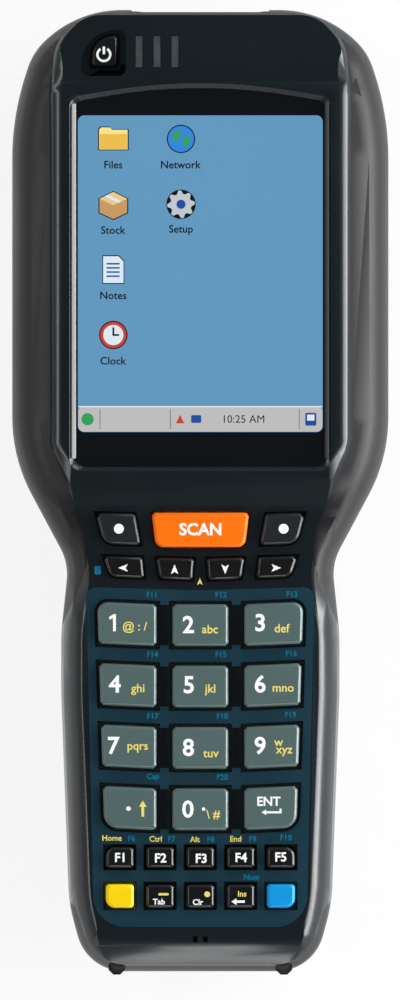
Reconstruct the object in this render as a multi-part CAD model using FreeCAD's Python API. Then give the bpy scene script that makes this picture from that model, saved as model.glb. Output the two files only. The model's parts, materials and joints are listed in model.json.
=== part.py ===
import FreeCAD, Part
import math
import os

# Portable barcode data terminal, in millimetres. It lies on its back: front face up (+Z), scanning end at +Y.

# Case outline seen from the front
head_half_width = 41.1
waist_half_width = 28.8
grip_half_width = 30.4
base_half_width = 28.7
nose_y = 105.2
base_y = -104.8
waist_y = -15.7

# Heights
parting_z = 24.0
head_top = 43.0
keypad_top = head_top - 3.4
rim_top = head_top - 2.0
rubber_top_drop = 0.5
rubber_bottom_z = 5.0

# Walls and clearances
rubber_thickness = 2.0
side_wall = 2.2
floor_wall = 2.2
front_wall = 2.0
running_gap = 0.3
seat_gap = 0.1

# Ends of the step between head and keypad, and the nose and base slopes of the front
step_head_y = 4.0
step_keypad_y = -4.5
nose_slope_y = 92.0
nose_slope_drop = 2.6
base_slope_y = -97.0
base_slope_drop = 4.5

# Hard bezel inside the rubber
bezel_half_width = 32.8
bezel_waist_half_width = 22.9
bezel_nose_y = 103.6
bezel_base_y = -103.2
bezel_bevel_width = 2.6
bezel_bevel_height = 2.4

# Display
window_half_width = 26.6
window_top_y = 81.7
window_bottom_y = 12.9
window_radius = 1.4
pocket_margin = 0.9
pocket_top_y = 84.7
pocket_bottom_y = 5.3
pocket_arch = 2.3
pocket_depth = 1.0
panel_margin = 1.2
gasket_thickness = 0.4
panel_thickness = 1.1
module_thickness = 3.6

# Keypad faceplate
inlay_thickness = 0.7
inlay_top_y = -20.7
inlay_base_y = -94.7
inlay_half_width = 24.9
inlay_base_half_width = 23.2
inlay_sag = 0.7

# Keys
key_rise = 1.3
key_chamfer = 0.55
key_gap = 0.35
key_travel = 0.8
flange_thickness = 1.0
flange_margin = 0.6
flange_gap = 0.2
stem_radius = 1.0
dome_radius = 2.0
dome_height = 0.5
dome_gap = 0.2
row_y = -24.5
row_pitch = 13.34
number_key_height = 9.1
column_inner = 6.1
column_gap = 3.4
column_outer_top = 22.4
column_outer_base = 20.9
small_key_pitch = 8.75
small_key_width = 6.1
function_key_y = -79.5
function_key_height = 4.6
bottom_key_y = -87.9
bottom_key_height = 5.1

# Scan window and engine
scan_half_width = 15.0
scan_height = 15.0
scan_z = head_top - 18.0
scan_window_thickness = 1.5
engine_half_width = 11.0
engine_depth = 13.0
engine_height = 13.0

# Battery, its bay and its door
bay_half_width = 18.2
bay_top_y = -22.0
bay_base_y = -86.0
bay_height = 16.0
bay_wall = 1.4
door_inset = 0.3
door_thickness = 1.8
hinge_radius = 1.5
hinge_pin_radius = 0.6
hinge_z = 1.9
hinge_setback = 1.9
battery_gap = 0.3

# Speaker and the width of the rubber over the nose
speaker_y = 48.0
speaker_radius = 9.0
nose_half_width = 22.8

# Boards
board_thickness = 1.2
keypad_board_thickness = 0.8
membrane_thickness = 0.6
main_board_half_width = head_half_width - 7.1
main_board_top_y = 84.0
main_board_base_y = 6.0

# Screws
screw_head_radius = 2.2
screw_head_height = 1.6
screw_shank_radius = 1.0
screw_length = 22.0
screw_seat_z = 6.0
post_radius = 2.8
screw_x = head_half_width - 9.9
screw_upper_y = 78.0
screw_lower_y = 12.0
base_screw_x = 16.5
base_screw_y = -95.0

# Outline corners: X, Y and corner radius of the right half, from nose to base
case_corners = [
    (head_half_width - 13.9, nose_y, 24.0),
    (head_half_width - 4.5, nose_y - 9.4, 14.0),
    (head_half_width, nose_y - 22.9, 60.0),
    (head_half_width, waist_y + 23.0, 36.0),
    (waist_half_width, waist_y, 12.0),
    (grip_half_width, waist_y - 15.3, 40.0),
    (grip_half_width, waist_y - 28.3, 100.0),
    (base_half_width, base_y + 14.8, 36.0),
    (base_half_width - 4.0, base_y, 10.5),
]
bezel_corners = [
    (bezel_half_width - 7.6, bezel_nose_y, 9.0),
    (bezel_half_width - 1.6, bezel_nose_y - 5.6, 8.0),
    (bezel_half_width, bezel_nose_y - 15.1, 30.0),
    (bezel_half_width, waist_y + 26.0, 8.0),
    (bezel_waist_half_width, waist_y + 2.5, 18.0),
    (grip_half_width + 1.2, waist_y - 16.8, 5.0),
    (grip_half_width + 1.2, base_y + 17.6, 1.0),
    (base_half_width - 1.4, base_y + 14.5, 3.0),
    (base_half_width - 6.1, bezel_base_y, 9.5),
]

# Case flank: height and how far the outline is drawn in there
case_levels = [
    (0.0, 9.0),
    (3.5, 5.2),
    (10.5, 1.8),
    (parting_z, 0.0),
    (head_top - 11.0, 0.6),
    (head_top - 6.5, 2.0),
    (head_top - 3.6, 4.4),
    (rim_top, 8.8),
]

# The hidden skins follow the same flank with fewer bands
core_levels = [case_levels[n] for n in (0, 1, 2, 3, 5, 7)]
cavity_levels = [case_levels[n] for n in (0, 2, 3, 5, 7)]

rubber_end_y = bezel_corners[5][1]
base_rubber_y = bezel_corners[6][1]
big = 400.0

# Corners smaller than this are cut straight, and the skins under the rubber turn in chords of these degrees
small_corner = 1.0
core_step = 20.0
cavity_step = 24.0


def v(x, y, z=0.0):
    return FreeCAD.Vector(x, y, z)


def unit(a, b):
    length = math.hypot(b[0] - a[0], b[1] - a[1])
    return ((b[0] - a[0]) / length, (b[1] - a[1]) / length)


def turned(centre, point, angle):
    """A point carried round a centre, clockwise by angle."""
    dx, dy = point[0] - centre[0], point[1] - centre[1]
    return (centre[0] + dx * math.cos(angle) + dy * math.sin(angle),
            centre[1] - dx * math.sin(angle) + dy * math.cos(angle))


def rounded_edges(corners, place, step=None):
    """Closed edges through rounded corners (u, w, radius); place turns (u, w) into a point.

    Corners are tangent arcs. A corner radius under small_corner is one straight cut, and with step, in degrees,
    every arc is chords that turn by no more than that.
    """
    count = len(corners)
    runs = []
    for i in range(count):
        here = corners[i]
        before = unit(corners[i - 1], here)
        after = unit(here, corners[(i + 1) % count])
        turn = math.acos(max(-1.0, min(1.0, before[0] * after[0] + before[1] * after[1])))
        radius = here[2]
        if turn < 1e-4 or radius <= 0.0:
            runs.append([here])
            continue
        run = radius * math.tan(turn / 2)
        start = (here[0] - before[0] * run, here[1] - before[1] * run)
        end = (here[0] + after[0] * run, here[1] + after[1] * run)
        side = 1 if before[0] * after[1] - before[1] * after[0] < 0 else -1
        hub = (start[0] + side * before[1] * radius, start[1] - side * before[0] * radius)
        pieces_of_turn = 1 if radius < small_corner else 2
        if step:
            pieces_of_turn = max(1, math.ceil(math.degrees(turn) / step))
        points = [turned(hub, start, side * turn * n / pieces_of_turn) for n in range(pieces_of_turn)]
        runs.append(points + [end])
    edges = []
    for i in range(count):
        run = runs[i]
        points = [place(*p[:2]) for p in run]
        if len(run) == 3 and not step:
            edges.append(Part.Arc(*points).toShape())
        else:
            edges += [Part.makeLine(a, b) for a, b in zip(points, points[1:])]
        following = runs[(i + 1) % count][0]
        if math.hypot(following[0] - run[-1][0], following[1] - run[-1][1]) > 1e-6:
            edges.append(Part.makeLine(points[-1], place(*following[:2])))
    return edges


def both_sides(right_half):
    """The whole outline, clockwise, from its right half."""
    return right_half + [(-x, y, r) for x, y, r in reversed(right_half)]


def drawn_in(corners, inset):
    """A clockwise outline moved inwards by inset, with its corner radii changed to suit."""
    moved = []
    count = len(corners)
    for i in range(count):
        here = corners[i]
        before = unit(corners[i - 1], here)
        after = unit(here, corners[(i + 1) % count])
        share = inset / (1 + before[0] * after[0] + before[1] * after[1])
        x = here[0] + share * (before[1] + after[1])
        y = here[1] - share * (before[0] + after[0])
        convex = before[0] * after[1] - before[1] * after[0] < 0
        radius = here[2] - inset if convex else here[2] + inset
        moved.append((x, y, max(radius, 0.3) if here[2] > 0 else 0.0))
    return moved


def outline(corners, z, inset=0.0, step=None):
    shape = drawn_in(corners, inset) if inset else corners
    return Part.Wire(rounded_edges(shape, lambda x, y: v(x, y, z), step))


def prism(corners, low, high, inset=0.0, step=None):
    return Part.Face(outline(corners, low, inset, step)).extrude(v(0, 0, high - low))


def band_faces(lower, upper):
    """Faces between two wires with matching edges: flat ones between lines, cones between arcs about one axis."""
    faces = []
    for a, b in zip(lower.OrderedEdges, upper.OrderedEdges):
        start, end = a.firstVertex(True).Point, a.lastVertex(True).Point
        above_start, above_end = b.firstVertex(True).Point, b.lastVertex(True).Point
        if isinstance(a.Curve, Part.Line):
            faces.append(Part.Face(Part.makePolygon([start, end, above_end, above_start, start])))
        else:
            hub = a.Curve.Center
            turn = math.atan2(end.y - hub.y, end.x - hub.x) - math.atan2(start.y - hub.y, start.x - hub.x)
            turn = (turn + math.pi) % (2 * math.pi) - math.pi
            faces.append(Part.makeLine(start, above_start).revolve(hub, v(0, 0, 1), math.degrees(turn)))
    return faces


def skin(wires):
    """A solid through matching wires, one above the other."""
    faces = [Part.Face(wires[0]), Part.Face(wires[-1])]
    for lower, upper in zip(wires, wires[1:]):
        faces += band_faces(lower, upper)
    shell_of_faces = Part.makeShell(faces)
    shell_of_faces.sewShape()
    solid = Part.makeSolid(shell_of_faces)
    if solid.Volume < 0:
        solid.reverse()
    return solid


def stack(corners, levels, extra=0.0, step=None):
    """A solid through the outline drawn in by a different amount at each height."""
    return skin([outline(corners, z, inset + extra, step) for z, inset in levels])


def sharpened(corners, least=1.5):
    """The same outline with its small corner radii left out, for hidden faces."""
    return [(x, y, r if r >= least else 0.0) for x, y, r in corners]


def capped(corners, low, high, chamfer):
    """A prism whose top edge is chamfered."""
    body = prism(corners, low, high - chamfer)
    cap = stack(corners, [(high - chamfer, 0.0), (high, chamfer)])
    return body.fuse(cap).removeSplitter()


def box(x0, y0, z0, x1, y1, z1):
    return Part.makeBox(x1 - x0, y1 - y0, z1 - z0, v(x0, y0, z0))


def cylinder(radius, low, high, x, y):
    return Part.makeCylinder(radius, high - low, v(x, y, low))


def square(half, low, high, x, y):
    return box(x - half, y - half, low, x + half, y + half, high)


def octagon(half, low, high, x, y):
    cut = half * 0.586
    near = half - cut
    points = [(x - near, y + half), (x + near, y + half), (x + half, y + near), (x + half, y - near),
              (x + near, y - half), (x - near, y - half), (x - half, y - near), (x - half, y + near)]
    return prism([(a, b, 0.0) for a, b in points], low, high)


def rectangle(half_width, low_y, high_y, radius):
    return both_sides([(half_width, high_y, radius), (half_width, low_y, radius)])


def mirrored(corners):
    """An outline on the other side of the middle, still clockwise."""
    return [(-x, y, r) for x, y, r in reversed(corners)]


def front_height(y):
    """Height of the front face before its bends are rounded."""
    if y > nose_slope_y:
        return head_top - nose_slope_drop * (y - nose_slope_y) / (nose_y - nose_slope_y)
    if y > step_head_y:
        return head_top
    if y > step_keypad_y:
        return keypad_top + (head_top - keypad_top) * (y - step_keypad_y) / (step_head_y - step_keypad_y)
    if y > base_slope_y:
        return keypad_top
    return keypad_top - base_slope_drop * (base_slope_y - y) / (base_slope_y - base_y)


def under_front(drop):
    """Everything lower than the front face by drop: head plane, step, keypad plane, nose and base slopes."""
    end = 20.0
    slope = nose_slope_drop / (nose_y - nose_slope_y)
    fall = base_slope_drop / (base_slope_y - base_y)
    line = [
        (base_y - end, keypad_top - base_slope_drop - fall * end, 0.0),
        (base_slope_y, keypad_top, 12.0),
        (step_keypad_y, keypad_top, 8.0),
        (step_head_y, head_top, 8.0),
        (nose_slope_y, head_top, 30.0),
        (nose_y + end, head_top - nose_slope_drop - slope * end, 0.0),
        (nose_y + end, -60.0, 0.0),
        (base_y - end, -60.0, 0.0),
    ]
    edges = rounded_edges(line, lambda y, z: v(-big / 2, y, z - drop))
    return Part.Face(Part.Wire(edges)).extrude(v(big, 0, 0))


# Key outlines, clockwise from the upper left: X, Y and corner radius
def number_key(row, column):
    """One of twelve number keys; the outer columns flare towards their outer ends."""
    top = row_y - row * row_pitch
    low = top - number_key_height
    small = 0.7
    if column == 1:
        return [(-column_inner, top, small), (column_inner, top, small),
                (column_inner, low, small), (-column_inner, low, small)]
    taper = (column_outer_top - column_outer_base) / (3 * row_pitch + number_key_height)
    upper_x = column_outer_top - taper * (row_y - top)
    lower_x = column_outer_top - taper * (row_y - low)
    inner_x = column_inner + column_gap
    rise = 0.55
    right = [(inner_x, top, small), (upper_x, top + rise, 2.2 if row == 0 else small),
             (lower_x, low + rise, 3.2 if row == 3 else small), (inner_x, low, small)]
    return right if column == 2 else mirrored(right)


def small_key(index, middle_y, height, corner_at):
    """A key of the two lower rows; corner_at names the outer corner that is cut round on the end keys."""
    x = (index - 2) * small_key_pitch
    half = small_key_width / 2
    top = middle_y + height / 2
    low = middle_y - height / 2
    radii = {"ul": 0.5, "ur": 0.5, "lr": 0.5, "ll": 0.5}
    if index == 0:
        radii[corner_at + "l"] = 2.0
    if index == 4:
        radii[corner_at + "r"] = 2.0
    return [(x - half, top, radii["ul"]), (x + half, top, radii["ur"]),
            (x + half, low, radii["lr"]), (x - half, low, radii["ll"])]


power_left, power_right, power_top_y, power_low_y = -23.7, -17.9, nose_y - 6.1, nose_y - 13.1
power_outline = [(power_left, power_top_y, 4.6), (power_right, power_top_y, 0.6),
                 (power_right, power_low_y, 0.6), (power_left, power_low_y, 0.6)]
recess_left, recess_right = power_left - 2.2, power_right + 1.7
recess_top_y, recess_low_y = power_top_y + 1.1, power_low_y - 1.9
power_recess = [(recess_left, recess_top_y, 7.5), (recess_right, recess_top_y, 1.6),
                (recess_right, recess_low_y, 1.6), (recess_left, recess_low_y, 1.6)]
scan_outline = [(-10.6, -4.6, 0.6), (10.6, -4.6, 0.6), (9.7, -12.1, 1.9), (-9.7, -12.1, 1.9)]
soft_outline = [(14.2, -4.8, 0.6), (22.8, -4.6, 0.9), (21.0, -11.4, 3.0), (12.9, -11.7, 0.6)]
inner_arrow = [(1.3, -14.5, 0.5), (9.7, -14.3, 0.5), (8.9, -19.0, 0.8), (1.7, -19.3, 0.5)]
outer_arrow = [(12.6, -14.2, 0.5), (21.2, -13.9, 0.7), (19.6, -18.6, 2.2), (12.1, -18.9, 0.5)]

keys = {
    "power_key": power_outline,
    "scan_key": scan_outline,
    "soft_key_left": mirrored(soft_outline),
    "soft_key_right": soft_outline,
    "arrow_key_left": mirrored(outer_arrow),
    "arrow_key_up": mirrored(inner_arrow),
    "arrow_key_down": inner_arrow,
    "arrow_key_right": outer_arrow,
}
number_names = ["key_1", "key_2", "key_3", "key_4", "key_5", "key_6",
                "key_7", "key_8", "key_9", "key_point", "key_0", "key_enter"]
for place_number, name in enumerate(number_names):
    keys[name] = number_key(place_number // 3, place_number % 3)
for place_number in range(5):
    keys["key_f%d" % (place_number + 1)] = small_key(place_number, function_key_y, function_key_height, "u")
bottom_names = ["yellow_key", "tab_key", "escape_key", "backspace_key", "blue_key"]
for place_number, name in enumerate(bottom_names):
    keys[name] = small_key(place_number, bottom_key_y, bottom_key_height, "l")


def centre(corners):
    xs = [c[0] for c in corners]
    ys = [c[1] for c in corners]
    return (min(xs) + max(xs)) / 2, (min(ys) + max(ys)) / 2


ceiling = keypad_top - front_wall
flange_top = ceiling - flange_gap
flange_low = flange_top - flange_thickness
stem_low = flange_low - flange_thickness
sheet_top = stem_low - key_travel - dome_gap - dome_height
board_top = sheet_top - membrane_thickness
board_low = board_top - keypad_board_thickness
frame_low = head_top - front_wall
panel_top = frame_low - gasket_thickness
panel_low = panel_top - panel_thickness
power_face = front_height(power_outline[1][1]) - 0.1
power_floor = power_face - 0.9
power_flange_top = power_face - 0.3 - front_wall - flange_gap
power_stem_low = power_flange_top - 2 * flange_thickness
status_board_top = power_stem_low - key_travel - dome_gap - dome_height


def make_key(name):
    """Keycap with a chamfered top, a flange that holds it under the housing, and the stem that presses its dome."""
    corners = keys[name]
    x, y = centre(corners)
    if name == "power_key":
        top, low, stem_end = power_face, power_flange_top, power_stem_low
    else:
        top, low, stem_end = keypad_top + key_rise, flange_top, stem_low
    cap = capped(corners, low, top, key_chamfer)
    flange = prism(sharpened(corners, 2.0), low - flange_thickness, low, -flange_margin)
    stem = square(stem_radius, stem_end, low - flange_thickness, x, y)
    return cap.fuse([flange, stem]).removeSplitter()


def inlay_outline():
    """Faceplate: a sagging top edge, sides that taper and a wide round base."""
    return [
        (-inlay_half_width, inlay_top_y, 2.3),
        (0.0, inlay_top_y - inlay_sag, 60.0),
        (inlay_half_width, inlay_top_y, 2.3),
        (inlay_base_half_width, inlay_base_y, 7.0),
        (-inlay_base_half_width, inlay_base_y, 7.0),
    ]


keypad_sheet = both_sides([(23.6, -1.5, 2.0), (22.0, -13.0, 6.0), (23.2, -24.0, 6.0), (21.2, -92.0, 2.0)])


def keypad_slots():
    """Openings of the faceplate: one scalloped slot for each row of number keys, one hole for each small key."""
    cuts = []
    low, high = keypad_top - inlay_thickness - 1.0, keypad_top + 2.0
    border = 0.75
    for row in range(4):
        middle = row_y - row * row_pitch - number_key_height / 2
        for column in range(3):
            cuts.append(prism(sharpened(number_key(row, column)), low, high, -border))
        neck = number_key_height / 2 - 0.2
        reach = column_inner + column_gap + 1.0
        cuts.append(box(-reach, middle - neck, low, reach, middle + neck, high))
    for index in range(5):
        for middle_y, height, corner in (
            (function_key_y, function_key_height, "u"),
            (bottom_key_y, bottom_key_height, "l"),
        ):
            cuts.append(prism(sharpened(small_key(index, middle_y, height, corner), 3.0), low, high, -0.55))
    return cuts


def key_holes():
    """Holes through the housing for every key, wider than the keycap by the running gap."""
    cuts = []
    for name, corners in keys.items():
        low = flange_low if name != "power_key" else power_flange_top - 3.0
        cuts.append(prism(sharpened(corners), low - 3.0, head_top + 5.0, -key_gap))
    return cuts


def pocket_corners(margin):
    """Display recess: straight sides, an arched top edge."""
    half = window_half_width + pocket_margin + margin
    arch_radius = 120.0
    return [
        (-half, pocket_top_y + margin, 2.6),
        (0.0, pocket_top_y + 2 * pocket_arch + margin, arch_radius),
        (half, pocket_top_y + margin, 2.6),
        (half, pocket_bottom_y - margin, 2.6),
        (-half, pocket_bottom_y - margin, 2.6),
    ]


def window_corners(margin=0.0):
    return rectangle(window_half_width + margin, window_bottom_y - margin, window_top_y + margin,
                     window_radius + margin)


led_x = [-13.3, -9.4, -5.5]
led_half_width = 0.75
led_top_y = power_top_y - 0.2
led_base_y = power_low_y


def led_corners(x, grow=0.0):
    half = led_half_width + grow
    return [(x - half, led_top_y + grow, 0.0), (x + half, led_top_y + grow, 0.0),
            (x + half, led_base_y - grow, 0.0), (x - half, led_base_y - grow, 0.0)]


screw_places = [(side * screw_x, y) for side in (-1, 1) for y in (screw_upper_y, screw_lower_y)]
screw_places += [(side * base_screw_x, base_screw_y) for side in (-1, 1)]
board_post_places = [(side * (column_inner + column_gap / 2), row_y - number_key_height
                      - (row_pitch - number_key_height) / 2 - n * 2 * row_pitch)
                     for side in (-1, 1) for n in (0, 1)]
board_post_radius = 1.1
pilot_depth = screw_length - (parting_z - screw_seat_z)

# Masses that the pieces are cut from
case_outline = both_sides(case_corners)
bezel_outline = both_sides(bezel_corners)
outer = stack(case_outline, case_levels)
core = stack(case_outline, core_levels, rubber_thickness, core_step)
cavity = stack(case_outline, cavity_levels, rubber_thickness + side_wall, cavity_step)
cavity = cavity.common(box(-big, -big, floor_wall, big, big, big)).common(under_front(front_wall))
grip_band = box(-big, base_rubber_y, -1, big, rubber_end_y, big)
shell = core.fuse(outer.common(grip_band))
above = box(-big, -big, parting_z, big, big, big)
below = box(-big, -big, -1, big, big, parting_z)


def bay_block():
    """Walls of the battery bay before its pocket is cut."""
    return box(-bay_half_width - bay_wall, bay_base_y - bay_wall, 0.0,
               bay_half_width + bay_wall, bay_top_y + bay_wall, door_inset + bay_height + bay_wall)


def scan_opening(grow, low_y, high_y):
    """Rounded opening at the nose for the scanning window."""
    half, tall = scan_half_width + grow, scan_height / 2 + grow
    corners = [(-half, scan_z + tall, 3.0), (half, scan_z + tall, 3.0),
               (half, scan_z - tall, 3.0), (-half, scan_z - tall, 3.0)]
    edges = rounded_edges(corners, lambda x, z: v(x, low_y, z))
    return Part.Face(Part.Wire(edges)).extrude(v(0, high_y - low_y, 0))


window_face_y = nose_y - rubber_thickness - 0.7
dock_half_width = 9.0
dock_z = 14.0
dock_height = 5.0


def dock_opening(grow):
    return box(-dock_half_width - grow, base_y - 5.0, dock_z - dock_height / 2 - grow,
               dock_half_width + grow, base_y + 12.0, dock_z + dock_height / 2 + grow)


def front_mass():
    """Front shell before it is hollowed: hard bezel with its bevel, over the core that the rubber covers."""
    levels = [(parting_z, 0.0), (head_top - bezel_bevel_height, 0.0),
              (head_top - bezel_bevel_height / 3, bezel_bevel_width / 3), (head_top, bezel_bevel_width)]
    bezel = stack(bezel_outline, levels)
    bezel = bezel.common(under_front(0.0))
    shoulder_y = waist_y + 6.0
    high_part = bezel.common(box(-big, shoulder_y, rim_top - 8.0, big, big, big))
    low_part = bezel.common(outer).common(above)
    return core.common(above).common(under_front(rubber_top_drop)).fuse([high_part, low_part])


def make_front_housing(mass):
    body = mass.cut(cavity)
    posts = []
    for x, y in screw_places:
        posts.append(octagon(post_radius, parting_z, front_height(y) - front_wall / 2, x, y).common(mass))
    for x, y in board_post_places:
        posts.append(square(board_post_radius, board_top, keypad_top - front_wall / 2, x, y))
    body = body.fuse(posts)
    rim = pocket_margin
    pocket = Part.makeLoft([
        Part.Wire(rounded_edges(pocket_corners(0.0), lambda x, y: v(x, y, head_top - pocket_depth))),
        Part.Wire(rounded_edges(pocket_corners(rim), lambda x, y: v(x, y, head_top))),
        Part.Wire(rounded_edges(pocket_corners(2 * rim), lambda x, y: v(x, y, head_top + pocket_depth))),
    ], True, True)
    cuts = [pocket.common(box(-big, step_head_y - 2, 0, big, big, head_top + 1)),
            prism(window_corners(), head_top - 6.0, head_top + 1.0)]
    cuts.append(prism(power_recess, power_floor, head_top + 5.0))
    cuts.append(prism(sharpened(power_outline, 9.0), parting_z + 8.0, power_flange_top + flange_gap,
                      -flange_margin - running_gap))
    cuts.append(prism(sharpened(window_corners(panel_margin + running_gap), 9.0), panel_low - module_thickness - 1.0,
                      frame_low))
    cuts.append(prism(sharpened(keypad_sheet, 9.0), board_low - 1.0, ceiling, -running_gap - 0.2))
    cuts.append(prism(inlay_outline(), keypad_top - inlay_thickness, keypad_top + 5.0))
    cuts += key_holes()
    for x in led_x:
        cuts.append(prism(led_corners(x, seat_gap), head_top - 8.0, head_top + 5.0))
    for x in (-1.1, 1.1):
        cuts.append(box(x - 0.45, base_slope_y - 1.0, keypad_top - 5.0, x + 0.45, base_slope_y + 0.3,
                        keypad_top + 5.0))
    for x, y in screw_places:
        cuts.append(octagon(screw_shank_radius, parting_z - 1.0, parting_z + pilot_depth, x, y))
    cuts.append(scan_opening(seat_gap, nose_y - 12.0, nose_y + 5.0))
    return body.cut(cuts).removeSplitter()


def make_rear_housing():
    body = shell.common(below).cut(cavity)
    posts = [bay_block()]
    for x, y in screw_places:
        top = parting_z - board_thickness if y > 0 else parting_z
        posts.append(octagon(post_radius, 0.5, top, x, y).common(shell))
    cradle = box(-engine_half_width - 1.5, nose_y - 8.0 - engine_depth, floor_wall / 2,
                 engine_half_width + 1.5, nose_y - 8.0 - 2.0, scan_z - engine_height / 2)
    posts.append(cradle)
    speaker_ring = octagon(speaker_radius + 1.2, floor_wall / 2, floor_wall + 2.5, 0.0, speaker_y)
    posts.append(speaker_ring.cut(octagon(speaker_radius + seat_gap, floor_wall, floor_wall + 3.0, 0.0, speaker_y)))
    mass = body.fuse(posts)
    cuts = [box(-bay_half_width, bay_base_y, -1.0, bay_half_width, bay_top_y, door_inset + bay_height)]
    cuts.append(Part.makeCylinder(hinge_pin_radius, 2 * bay_half_width + 1.6,
                                  v(-bay_half_width - 0.8, hinge_y, hinge_z), v(1, 0, 0)))
    cuts.append(cylinder(6.0, -1.0, 0.9, 0.0, bay_base_y - 1.2))
    for x, y in screw_places:
        cuts.append(octagon(screw_head_radius + running_gap, -1.0, screw_seat_z, x, y))
        cuts.append(octagon(screw_shank_radius + seat_gap, screw_seat_z - 1.0, parting_z + 1.0, x, y))
    cuts.append(scan_opening(seat_gap, nose_y - 8.0, nose_y + 5.0))
    cuts.append(dock_opening(seat_gap))
    for n in range(5):
        y = speaker_y + (n - 2) * 2.4
        half = 6.0 - abs(n - 2) * 1.2
        cuts.append(box(-half, y - 0.6, -1.0, half, y + 0.6, floor_wall + 0.5))
    cuts.append(gasket_ring(parting_z - 1.0, parting_z + 1.0))
    return mass.cut(cuts).removeSplitter()


def gasket_ring(low, high):
    return prism(case_outline, low, high, rubber_thickness + 0.7, cavity_step).cut(
        prism(case_outline, low - 1.0, high + 1.0, rubber_thickness + 1.5, cavity_step))


def make_rubber(front, pieces_of_rear):
    """The rubber overmould is what the case outline holds outside the hard shell."""
    rubber = outer.common(under_front(rubber_top_drop)).cut([front, pieces_of_rear])
    return rubber.common(box(-big, -big, rubber_bottom_z, big, big, big))


def largest(shape):
    return max(shape.Solids, key=lambda s: s.Volume)


hinge_y = bay_top_y - hinge_setback

# Build and write each piece
pieces = {}
whole_front = front_mass()
pieces["front_housing"] = make_front_housing(whole_front)
pieces["rear_housing"] = make_rear_housing()
rubber = make_rubber(whole_front, shell.common(below))
nose_band = box(-nose_half_width, nose_y - 12.0, rubber_bottom_z + 2.0, nose_half_width, nose_y + 5.0, big)
base_band = box(-big, -big, rubber_bottom_z, big, base_rubber_y + 0.01, big)
side_rubber = rubber.cut([box(-nose_half_width, nose_y - 20.0, -1, nose_half_width, nose_y + 5.0, big), base_band])
side_rubber = side_rubber.cut(box(-big, base_rubber_y - 1, -1, big, rubber_end_y - 0.5, big))
pieces["left_bumper"] = largest(side_rubber.common(box(-big, -big, -1, 0, big, big))).removeSplitter()
pieces["right_bumper"] = largest(side_rubber.common(box(0, -big, -1, big, big, big))).removeSplitter()
pieces["nose_hood"] = largest(rubber.common(nose_band).cut(scan_opening(0.0, nose_y - 12.0, nose_y + 5.0)))

prong_x = 18.2
prong_radius = 1.8
foot = largest(rubber.common(base_band))
prongs = [octagon(prong_radius, 9.0, keypad_top - base_slope_drop - 1.0, side * prong_x,
                   -nose_y + prong_radius) for side in (-1, 1)]
prong_zone = box(-big, -big, rubber_bottom_z, big, base_y + rubber_thickness - 0.3, big)
prongs = [p.common(prong_zone).cut([whole_front, shell]) for p in prongs]
pieces["base_bumper"] = largest(foot.fuse(prongs).cut(dock_opening(seat_gap)))

pieces["scan_window"] = scan_opening(0.0, window_face_y - scan_window_thickness, window_face_y)
engine_y = nose_y - 9.5
engine = box(-engine_half_width, engine_y - engine_depth, scan_z - engine_height / 2,
             engine_half_width, engine_y, scan_z + engine_height / 2)
engine = engine.cut(box(-engine_half_width + 2, engine_y - 2.0, scan_z - 4.0,
                        engine_half_width - 2, engine_y + 1.0, scan_z + 4.0))
lens = Part.makeCylinder(2.6, 2.0, v(-4.0, engine_y - 2.0, scan_z), v(0, 1, 0))
pieces["scan_engine"] = engine.fuse(lens)

pieces["keypad_faceplate"] = prism(inlay_outline(), keypad_top - inlay_thickness, keypad_top,
                                   0.05).cut(keypad_slots())

seat_corners = sharpened(window_corners(panel_margin), 9.0)
gasket_outer = prism(seat_corners, panel_top, frame_low)
pieces["display_gasket"] = gasket_outer.cut(prism(window_corners(0.1), panel_top - 1, frame_low + 1))
pieces["touch_panel"] = prism(seat_corners, panel_low, panel_top)
pieces["lcd_module"] = capped(seat_corners, panel_low - module_thickness, panel_low, 0.3)

lights = [prism(led_corners(x), status_board_top + 0.05, head_top + 5.0).common(under_front(0.05)) for x in led_x]
pieces["light_pipes"] = Part.makeCompound(lights)
status_half = 11.0
status_x = (power_outline[0][0] + led_x[-1]) / 2
power_x, power_y = centre(power_outline)
status_board = prism([(status_x - status_half, power_y + dome_radius, 4.0),
                      (status_x + status_half, power_y + dome_radius, 0.0),
                      (status_x + status_half, power_low_y - 6.1, 0.0),
                      (status_x - status_half, power_low_y - 6.1, 0.0)],
                     status_board_top - 1.0, status_board_top)
pieces["status_board"] = status_board.fuse(cylinder(dome_radius, status_board_top,
                                                    status_board_top + dome_height, power_x, power_y))

membrane = prism(keypad_sheet, board_top, sheet_top)
board = prism(keypad_sheet, board_low, board_top)
holes = [square(board_post_radius + seat_gap, board_top - 0.5, board_top + 5, x, y) for x, y in board_post_places]
domes = []
for name, corners in keys.items():
    if name != "power_key":
        domes.append(square(dome_radius, sheet_top, sheet_top + dome_height, *centre(corners)))
pieces["keypad_membrane"] = membrane.fuse(domes).cut(holes)
pieces["keypad_board"] = board

main_outline = rectangle(main_board_half_width, main_board_base_y, main_board_top_y, 0.0)
main_board = prism(main_outline, parting_z - board_thickness, parting_z).common(cavity)
chips = [box(-24, 50, parting_z, -8, 66, parting_z + 1.4), box(4, 40, parting_z, 18, 52, parting_z + 1.2),
         box(-20, 20, parting_z, -2, 34, parting_z + 1.6), box(8, 14, parting_z, 22, 30, parting_z + 2.0)]
main_board = main_board.fuse(chips)
clearances = [octagon(screw_shank_radius + seat_gap, 0, head_top, x, y) for x, y in screw_places if y > 0]
clearances.append(box(-engine_half_width - running_gap, engine_y - engine_depth - running_gap, 0,
                      engine_half_width + running_gap, big, head_top))
pieces["main_board"] = main_board.cut(clearances)

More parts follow.
